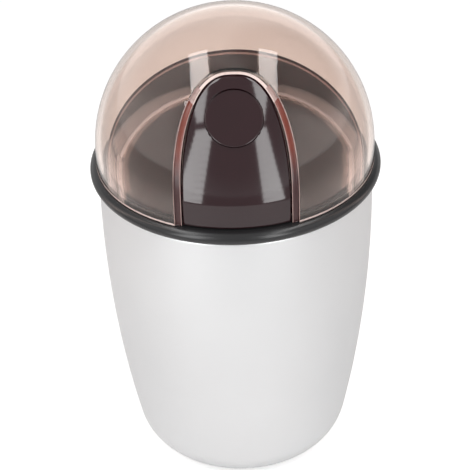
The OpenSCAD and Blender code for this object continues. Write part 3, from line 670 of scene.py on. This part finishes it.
# ---------------------------------------------------------------- nose
FOOT_COLUMNS = 60
NOSE_POLE_Z = COLLAR_TOP + 20
NOSE_ROWS, NOSE_POWER = 90, 1.3
ROUND_STEPS = 6
FLOOR_PLAY = 0.05  # between the deck and the nose's root


def on_sphere(r, z):
    return math.sqrt(r ** 2 - (z - DOME_Z) ** 2), z


# The nose's outline seen from the side: an upright foot, then one arc whose ends lie on a sphere
nose_low = Vector(on_sphere(NOSE_R, COLLAR_TOP + NOSE_FOOT_H))
nose_high = Vector(on_sphere(NOSE_R, COLLAR_TOP + ARCH_SIDE + ARCH_TOP - LIP_DROP - NOSE_PLAY))
chord = nose_high - nose_low
mid_share = math.sqrt((NOSE_ARC_R / chord.length) ** 2 - 0.25)
nose_mid = (nose_low + nose_high) / 2 - mid_share * Vector((chord.y, -chord.x))


def nose_reach(elev):
    """Distance from the dome's centre to the nose along a ray of this elevation."""
    ray = Vector((math.cos(elev), math.sin(elev)))
    start = Vector((0, DOME_Z)) - nose_mid
    along = -ray.dot(start)
    reach = along + math.sqrt(along ** 2 - start.length_squared + NOSE_ARC_R ** 2)
    if DOME_Z + reach * ray.y < nose_low.y:
        return nose_low.x / ray.x
    return reach


def nose_radius(z, inset=0.0):
    """Radius of the nose's revolved outline at one height, or of a surface inside it."""
    if z < nose_low.y:
        return nose_low.x - inset
    return nose_mid.x + math.sqrt((NOSE_ARC_R - inset) ** 2 - (z - nose_mid.y) ** 2)


def hood_front(x, z):
    """The y of the surface that the nose's sides reach down to, inside the hood."""
    return -math.sqrt((HOOD_R - NOSE_ROOT) ** 2 - x ** 2 - max(0, z - DOME_Z) ** 2)


def nose_loop(inset):
    """The nose's outline seen from the front: up over the top and back along the foot."""
    half_w = ARCH_W - NOSE_PLAY - inset
    top_h = ARCH_TOP - LIP_DROP - NOSE_PLAY - inset
    foot = NOSE_FOOT + inset
    loop = [arch_at(i / ARCH_STEPS, half_w, top_h, foot) for i in range(ARCH_STEPS + 1)]
    return loop + [(-half_w + 2 * half_w * i / FOOT_COLUMNS, foot) for i in range(1, FOOT_COLUMNS)]


def nose():
    """The raised middle of the hood: a revolved face with a rounded border and straight sides."""
    verts, rows, faces = [(0, -nose_radius(NOSE_POLE_Z), NOSE_POLE_Z)], [], []

    def add_row(loop, share, depth):
        rows.append(len(verts))
        for qx, qz in loop:
            x, z = qx * share, NOSE_POLE_Z + (qz - NOSE_POLE_Z) * share
            verts.append((x, -math.sqrt(nose_radius(z, depth) ** 2 - x ** 2), z))

    face_loop = nose_loop(NOSE_ROUND_R)
    for share in rows_outward(NOSE_ROWS, NOSE_POWER) + [1]:
        add_row(face_loop, share, 0)
    for k in range(1, ROUND_STEPS + 1):
        a = math.pi / 2 * k / ROUND_STEPS
        add_row(nose_loop(NOSE_ROUND_R * (1 - math.sin(a))), 1, NOSE_ROUND_R * (1 - math.cos(a)))
    add_row(nose_loop(0), 1, NOSE_ROOT)
    rows.append(len(verts))
    lowest = DECK_TOP + FLOOR_PLAY
    verts.extend((x, hood_front(x, z), max(z, lowest)) for x, z in nose_loop(0))
    under_pole = len(verts)
    verts.append((0, hood_front(0, NOSE_POLE_Z), NOSE_POLE_Z))
    count = len(face_loop)
    for i in range(count):
        j = (i + 1) % count
        faces.append((0, rows[0] + i, rows[0] + j))
        faces.append((under_pole, rows[-1] + j, rows[-1] + i))
        for a, b in zip(rows, rows[1:]):
            faces.append((a + i, b + i, b + j, a + j))
    return make_object("front_nose", verts, faces, HOOD_BLACK, "base", "switch_hood", "black_gloss")


nose_piece = nose()
recalc(nose_piece)

# ---------------------------------------------------------------- button
BUTTON_STEPS = 128
DISH_STEPS = 16
DISH_CHORD_R = BUTTON_R - 1.0  # where the dish would meet the level of the face
DISH_END_R = BUTTON_R - 1.2

button_axis = Vector((0, -math.cos(BUTTON_TILT), math.sin(BUTTON_TILT)))
button_turn = button_axis.to_track_quat("Z", "Y")
button_reach = nose_reach(BUTTON_ELEV)
button_face = Vector((0, -button_reach * math.cos(BUTTON_ELEV), DOME_Z + button_reach * math.sin(BUTTON_ELEV)))
button_face -= BUTTON_SINK * button_axis


def button_cutter():
    bpy.ops.mesh.primitive_cylinder_add(vertices=BUTTON_STEPS, radius=(BUTTON_R + BUTTON_PLAY) * MM,
                                        depth=HOLE_DEPTH * MM, location=button_face * MM)
    cutter = bpy.context.object
    cutter.rotation_mode = "QUATERNION"
    cutter.rotation_quaternion = button_turn
    bpy.context.view_layer.update()
    return cutter


subtract(button_cutter(), hood_piece, nose_piece)


def button():
    """A dished disc with a flange and a stem under it, turned to the button's axis."""
    dish_r = (DISH_CHORD_R ** 2 + BUTTON_DISH ** 2) / (2 * BUTTON_DISH)
    outline = [(0, -BUTTON_DISH)]
    for i in range(1, DISH_STEPS + 1):
        r = DISH_END_R * i / DISH_STEPS
        outline.append((r, dish_r - BUTTON_DISH - math.sqrt(dish_r ** 2 - r ** 2)))
    outline += arc(BUTTON_R - BUTTON_EDGE, -BUTTON_EDGE, BUTTON_EDGE, 80, 0, 8)
    flange_r, flange_top = BUTTON_R + FLANGE_W, FLANGE_H - BUTTON_LEN
    stem_end = -BUTTON_LEN - STEM_LEN
    outline += [(BUTTON_R, flange_top), (flange_r, flange_top), (flange_r, -BUTTON_LEN)]
    outline += [(STEM_R, -BUTTON_LEN), (STEM_R, stem_end), (0, stem_end)]
    verts, faces = lathe(outline, BUTTON_STEPS)
    placed = [tuple(button_turn @ Vector(v) + button_face) for v in verts]
    return make_object("thumb_button", placed, faces, HOOD_BLACK, "button", "push_button", "black_gloss")


recalc(button())

# ---------------------------------------------------------------- the other nodes keep their solids
slot_of = {row["node"]: row["material_slot"] for row in frame["record"]["subparts"]}
for name, obj in frame["nodes"].items():
    obj.data.materials.clear()
    obj.data.materials.append(SLOT_MATERIALS[slot_of[name]])

# ---------------------------------------------------------------- floor and studio
VIEW_ELEV = math.radians(31.63)
FLOOR_SIZE = 8
FLOOR_TONE = 0.72
FLOOR_LIFT = 0.6  # what the camera sees beyond the floor's own light
GLOSS_LIFT = 0.16  # the same for a gloss
WORLD_LEVEL = 0.4  # the world's light on the object; the camera sees 1

# The studio is a white tent, in which a gloss sees darker parts: towards the viewer, and low and high
# on both sides. Each has its direction, the cosines at which it begins and is full, and its loss of light.
DARK_PARTS = (
    ((0, -0.707, 0.707), 0.5, 0.85, 0.5),
    ((0.90, 0.40, 0.15), 0.84, 0.98, 0.05),
    ((-0.90, 0.40, 0.15), 0.86, 0.99, 0.15),
    ((0.63, 0.36, 0.69), 0.70, 0.90, 0.75),
    ((-0.45, 0.42, 0.79), 0.72, 0.92, 0.35),
)

to_camera = Vector((0, -math.cos(VIEW_ELEV), math.sin(VIEW_ELEV)))


def maths(nodes, links, operation, *values):
    """A Math node; each value is a number or another node's output."""
    node = nodes.new("ShaderNodeMath")
    node.operation = operation
    for socket, value in zip(node.inputs, values):
        if isinstance(value, (int, float)):
            socket.default_value = value
        else:
            links.new(value, socket)
    return node.outputs[0]


def ray_kinds(nodes, links):
    """1 for what the camera or a clear surface sees, and 1 for what a gloss sees."""
    path = nodes.new("ShaderNodeLightPath").outputs
    seen = maths(nodes, links, "MAXIMUM", path["Is Camera Ray"], path["Is Transmission Ray"])
    return seen, path["Is Glossy Ray"]


def backdrop_material():
    """A plain pale floor that shows white and keeps the object's shadow."""
    mat, nodes, links, shader = new_material("pale_floor")
    shader.inputs["Base Color"].default_value = (FLOOR_TONE, FLOOR_TONE, FLOOR_TONE, 1)
    shader.inputs["Roughness"].default_value = 0.9
    shader.inputs["Specular IOR Level"].default_value = 0.1
    shader.inputs["Emission Color"].default_value = (1, 1, 1, 1)
    seen, gloss = ray_kinds(nodes, links)
    lift = maths(nodes, links, "MULTIPLY", seen, FLOOR_LIFT)
    lift = maths(nodes, links, "MULTIPLY_ADD", gloss, GLOSS_LIFT, lift)
    links.new(lift, shader.inputs["Emission Strength"])
    return mat


bpy.ops.mesh.primitive_plane_add(size=FLOOR_SIZE, location=(0, 0, 0))
floor = bpy.context.object
floor.name = "floor"
floor.data.materials.append(backdrop_material())


def studio_world():
    world = bpy.data.worlds.new("studio")
    world.use_nodes = True
    nodes, links = world.node_tree.nodes, world.node_tree.links
    background = nodes["Background"]
    background.inputs["Color"].default_value = (1, 1, 1, 1)
    seen, gloss = ray_kinds(nodes, links)
    direction = nodes.new("ShaderNodeTexCoord")
    tent = 1.0 - WORLD_LEVEL
    for way, begins, full, loss in DARK_PARTS:
        facing = nodes.new("ShaderNodeVectorMath")
        facing.operation = "DOT_PRODUCT"
        facing.inputs[1].default_value = way
        links.new(direction.outputs["Generated"], facing.inputs[0])
        part = nodes.new("ShaderNodeMapRange")
        part.interpolation_type = "SMOOTHSTEP"
        part.inputs["From Min"].default_value = begins
        part.inputs["From Max"].default_value = full
        part.inputs["To Max"].default_value = loss
        links.new(facing.outputs["Value"], part.inputs["Value"])
        tent = maths(nodes, links, "SUBTRACT", tent, part.outputs["Result"])
    level = maths(nodes, links, "MULTIPLY_ADD", seen, 1.0 - WORLD_LEVEL, WORLD_LEVEL)
    level = maths(nodes, links, "MULTIPLY_ADD", gloss, tent, level)
    links.new(level, background.inputs["Strength"])
    return world


bpy.context.scene.world = studio_world()

# ---------------------------------------------------------------- soft boxes
# Each soft box is a curved row of lamps, set where the dome's surface would mirror it to the viewer.
BOX_REACH = 0.35  # metres from the dome's centre
LOW_REACH = 0.15
BOX_GLOW = 4.9
WARM = (1.0, 0.76, 0.67)
# In front: name, elevations of the normal from and to in degrees, inner and outer border, and lamps.
# A border is the normal's x at the low and at the high end.
FRONT_BOXES = (
    ("left_low", 13, 35, (-0.235, -0.15), (-0.41, -0.27), 12),
    ("left_mid", 37, 48, (-0.22, -0.19), (-0.265, -0.33), 6),
    ("left_top", 49, 69, (-0.15, -0.165), (-0.275, -0.29), 6),
    ("right_low", 13, 35, (0.18, 0.135), (0.325, 0.225), 12),
    ("right_mid", 37, 48, (0.19, 0.15), (0.215, 0.27), 6),
    ("right_top", 49, 69, (0.175, 0.175), (0.29, 0.30), 6),
)
# At the sides: sign of x, name, the edge box's glow, and how far the borders of the edge and the haze
# drift at their low end
SIDES = ((-1, "left", 5.0, -0.04), (1, "right", 3.8, -0.015))
EDGE_SPAN, EDGE_LAMPS, HAZE_LAMPS = (20, 74), 30, 24
LOW_SPAN, LOW_LAMPS = (74, 114), 14

dome_centre = Vector((0, 0, DOME_Z * MM))


def mirrored(normal):
    """The direction that a surface with this normal shows to the viewer."""
    return 2 * normal.dot(to_camera) * normal - to_camera


def far_off(normal, reach):
    """The place seen in the dome by this normal, as though the dome were a point."""
    return mirrored(normal) * reach


def exactly(normal, reach):
    """Where the ray that the hood's surface mirrors to the viewer comes to a sphere of this radius."""
    start, ray = normal * HOOD_R * MM, mirrored(normal)
    along = start.dot(ray)
    return start + ray * (math.sqrt(along ** 2 + reach ** 2 - start.length_squared) - along)


def lamp(name, left, right, low, high, glow, colour):
    """A flat lamp between four places; glow is its brightness, where white paper is 1."""
    across = right - left
    along = high - low
    middle = (left + right + low + high) / 4
    back = middle.normalized()
    up = (along - along.dot(back) * back).normalized()
    side = up.cross(back)
    data = bpy.data.lights.new(name, "AREA")
    data.shape = "RECTANGLE"
    data.size, data.size_y = abs(across.dot(side)), along.length
    data.energy = math.pi * glow * data.size * data.size_y
    data.color = colour
    obj = bpy.data.objects.new(name, data)
    bpy.context.collection.objects.link(obj)
    obj.matrix_world = Matrix((side, up, back)).transposed().to_4x4()
    obj.location = dome_centre + middle
    obj.visible_camera = False
    return obj


def front_normal(nx, elev):
    """A normal with this x, at this elevation seen from the side."""
    rest = math.sqrt(1 - nx ** 2)
    return Vector((nx, -rest * math.cos(elev), rest * math.sin(elev)))


def side_normal(side):
    """Normals at one side, from their y and their turn from the top."""
    def normal_at(ny, turn):
        rest = math.sqrt(1 - ny ** 2)
        return Vector((side * rest * math.sin(turn), ny, rest * math.cos(turn)))
    return normal_at


def between(pair, share):
    return pair[0] + (pair[1] - pair[0]) * share


def box(name, normal_at, low, high, inner, outer, steps, glow,
        colour=(1, 1, 1), place=far_off, reach=BOX_REACH):
    """A long box, as a row of lamps; inner, outer and glow are its borders and its glow at both ends."""
    row = []
    for i in range(steps):
        share = (i + 0.5) / steps
        near, far = between(inner, share), between(outer, share)
        a, b = (math.radians(between((low, high), (i + k) / steps)) for k in (0, 1))
        mid, centre = (a + b) / 2, (near + far) / 2
        corners = [place(normal_at(*at), reach) for at in ((near, mid), (far, mid), (centre, a), (centre, b))]
        row.append(lamp(f"{name}_{i}", *corners, between(glow, share), colour))
    return row


for name, low, high, inner, outer, steps in FRONT_BOXES:
    box(name, front_normal, low, high, inner, outer, steps, (BOX_GLOW, BOX_GLOW))

# The lowest boxes at the sides light the dome alone.
dome_pieces = bpy.data.collections.new("dome_pieces")
for obj in (lid_piece, hood_piece, nose_piece):
    dome_pieces.objects.link(obj)
for side, name, glow, drift in SIDES:
    normal_at = side_normal(side)
    line = (-0.595, -0.505 + drift)
    box(f"{name}_edge", normal_at, *EDGE_SPAN, (-0.612, -0.525 + drift), line, EDGE_LAMPS,
        (glow, 0.8 * glow), WARM, exactly)
    box(f"{name}_haze", normal_at, *EDGE_SPAN, line, (-0.55, -0.42), HAZE_LAMPS, (1.3, 1.3), WARM, exactly)
    line = (-0.52, -0.62)
    low_row = box(f"{name}_low_edge", normal_at, *LOW_SPAN, (-0.585, -0.68), line, LOW_LAMPS,
                  (1.7, 2.4), WARM, exactly, LOW_REACH)
    low_row += box(f"{name}_low_side", normal_at, *LOW_SPAN, line, (-0.36, -0.50), LOW_LAMPS,
                   (0.6, 1.3), WARM, exactly, LOW_REACH)
    for obj in low_row:
        obj.light_linking.receiver_collection = dome_pieces

# ---------------------------------------------------------------- camera
# The collar's centre is VIEW_DIST away in metres, and falls on RING_PX in a frame of FRAME_PX.
VIEW_DIST = 0.70
FOCAL_PX = 2141.0
FRAME_PX = 470
RING_PX = (235.2, 155.6)
ROLL = math.radians(-1.72)
SENSOR = 36.0

ring_centre = Vector((0, 0, COLLAR_TOP * MM))
camera_data = bpy.data.cameras.new("camera")
camera_data.sensor_width = SENSOR
camera_data.lens = FOCAL_PX / FRAME_PX * SENSOR
camera_data.clip_start = 0.02
camera_data.clip_end = 20
camera = bpy.data.objects.new("camera", camera_data)
bpy.context.collection.objects.link(camera)
camera.location = ring_centre + to_camera * VIEW_DIST
pitch = math.atan((FRAME_PX / 2 - RING_PX[1]) / FOCAL_PX)
yaw = math.atan((RING_PX[0] - FRAME_PX / 2) / FOCAL_PX)
turn = Euler((-pitch, yaw, ROLL)).to_quaternion()
camera.rotation_mode = "QUATERNION"
camera.rotation_quaternion = (-to_camera).to_track_quat("-Z", "Y") @ turn
bpy.context.scene.camera = camera
bpy.context.scene.view_settings.view_transform = "Standard"
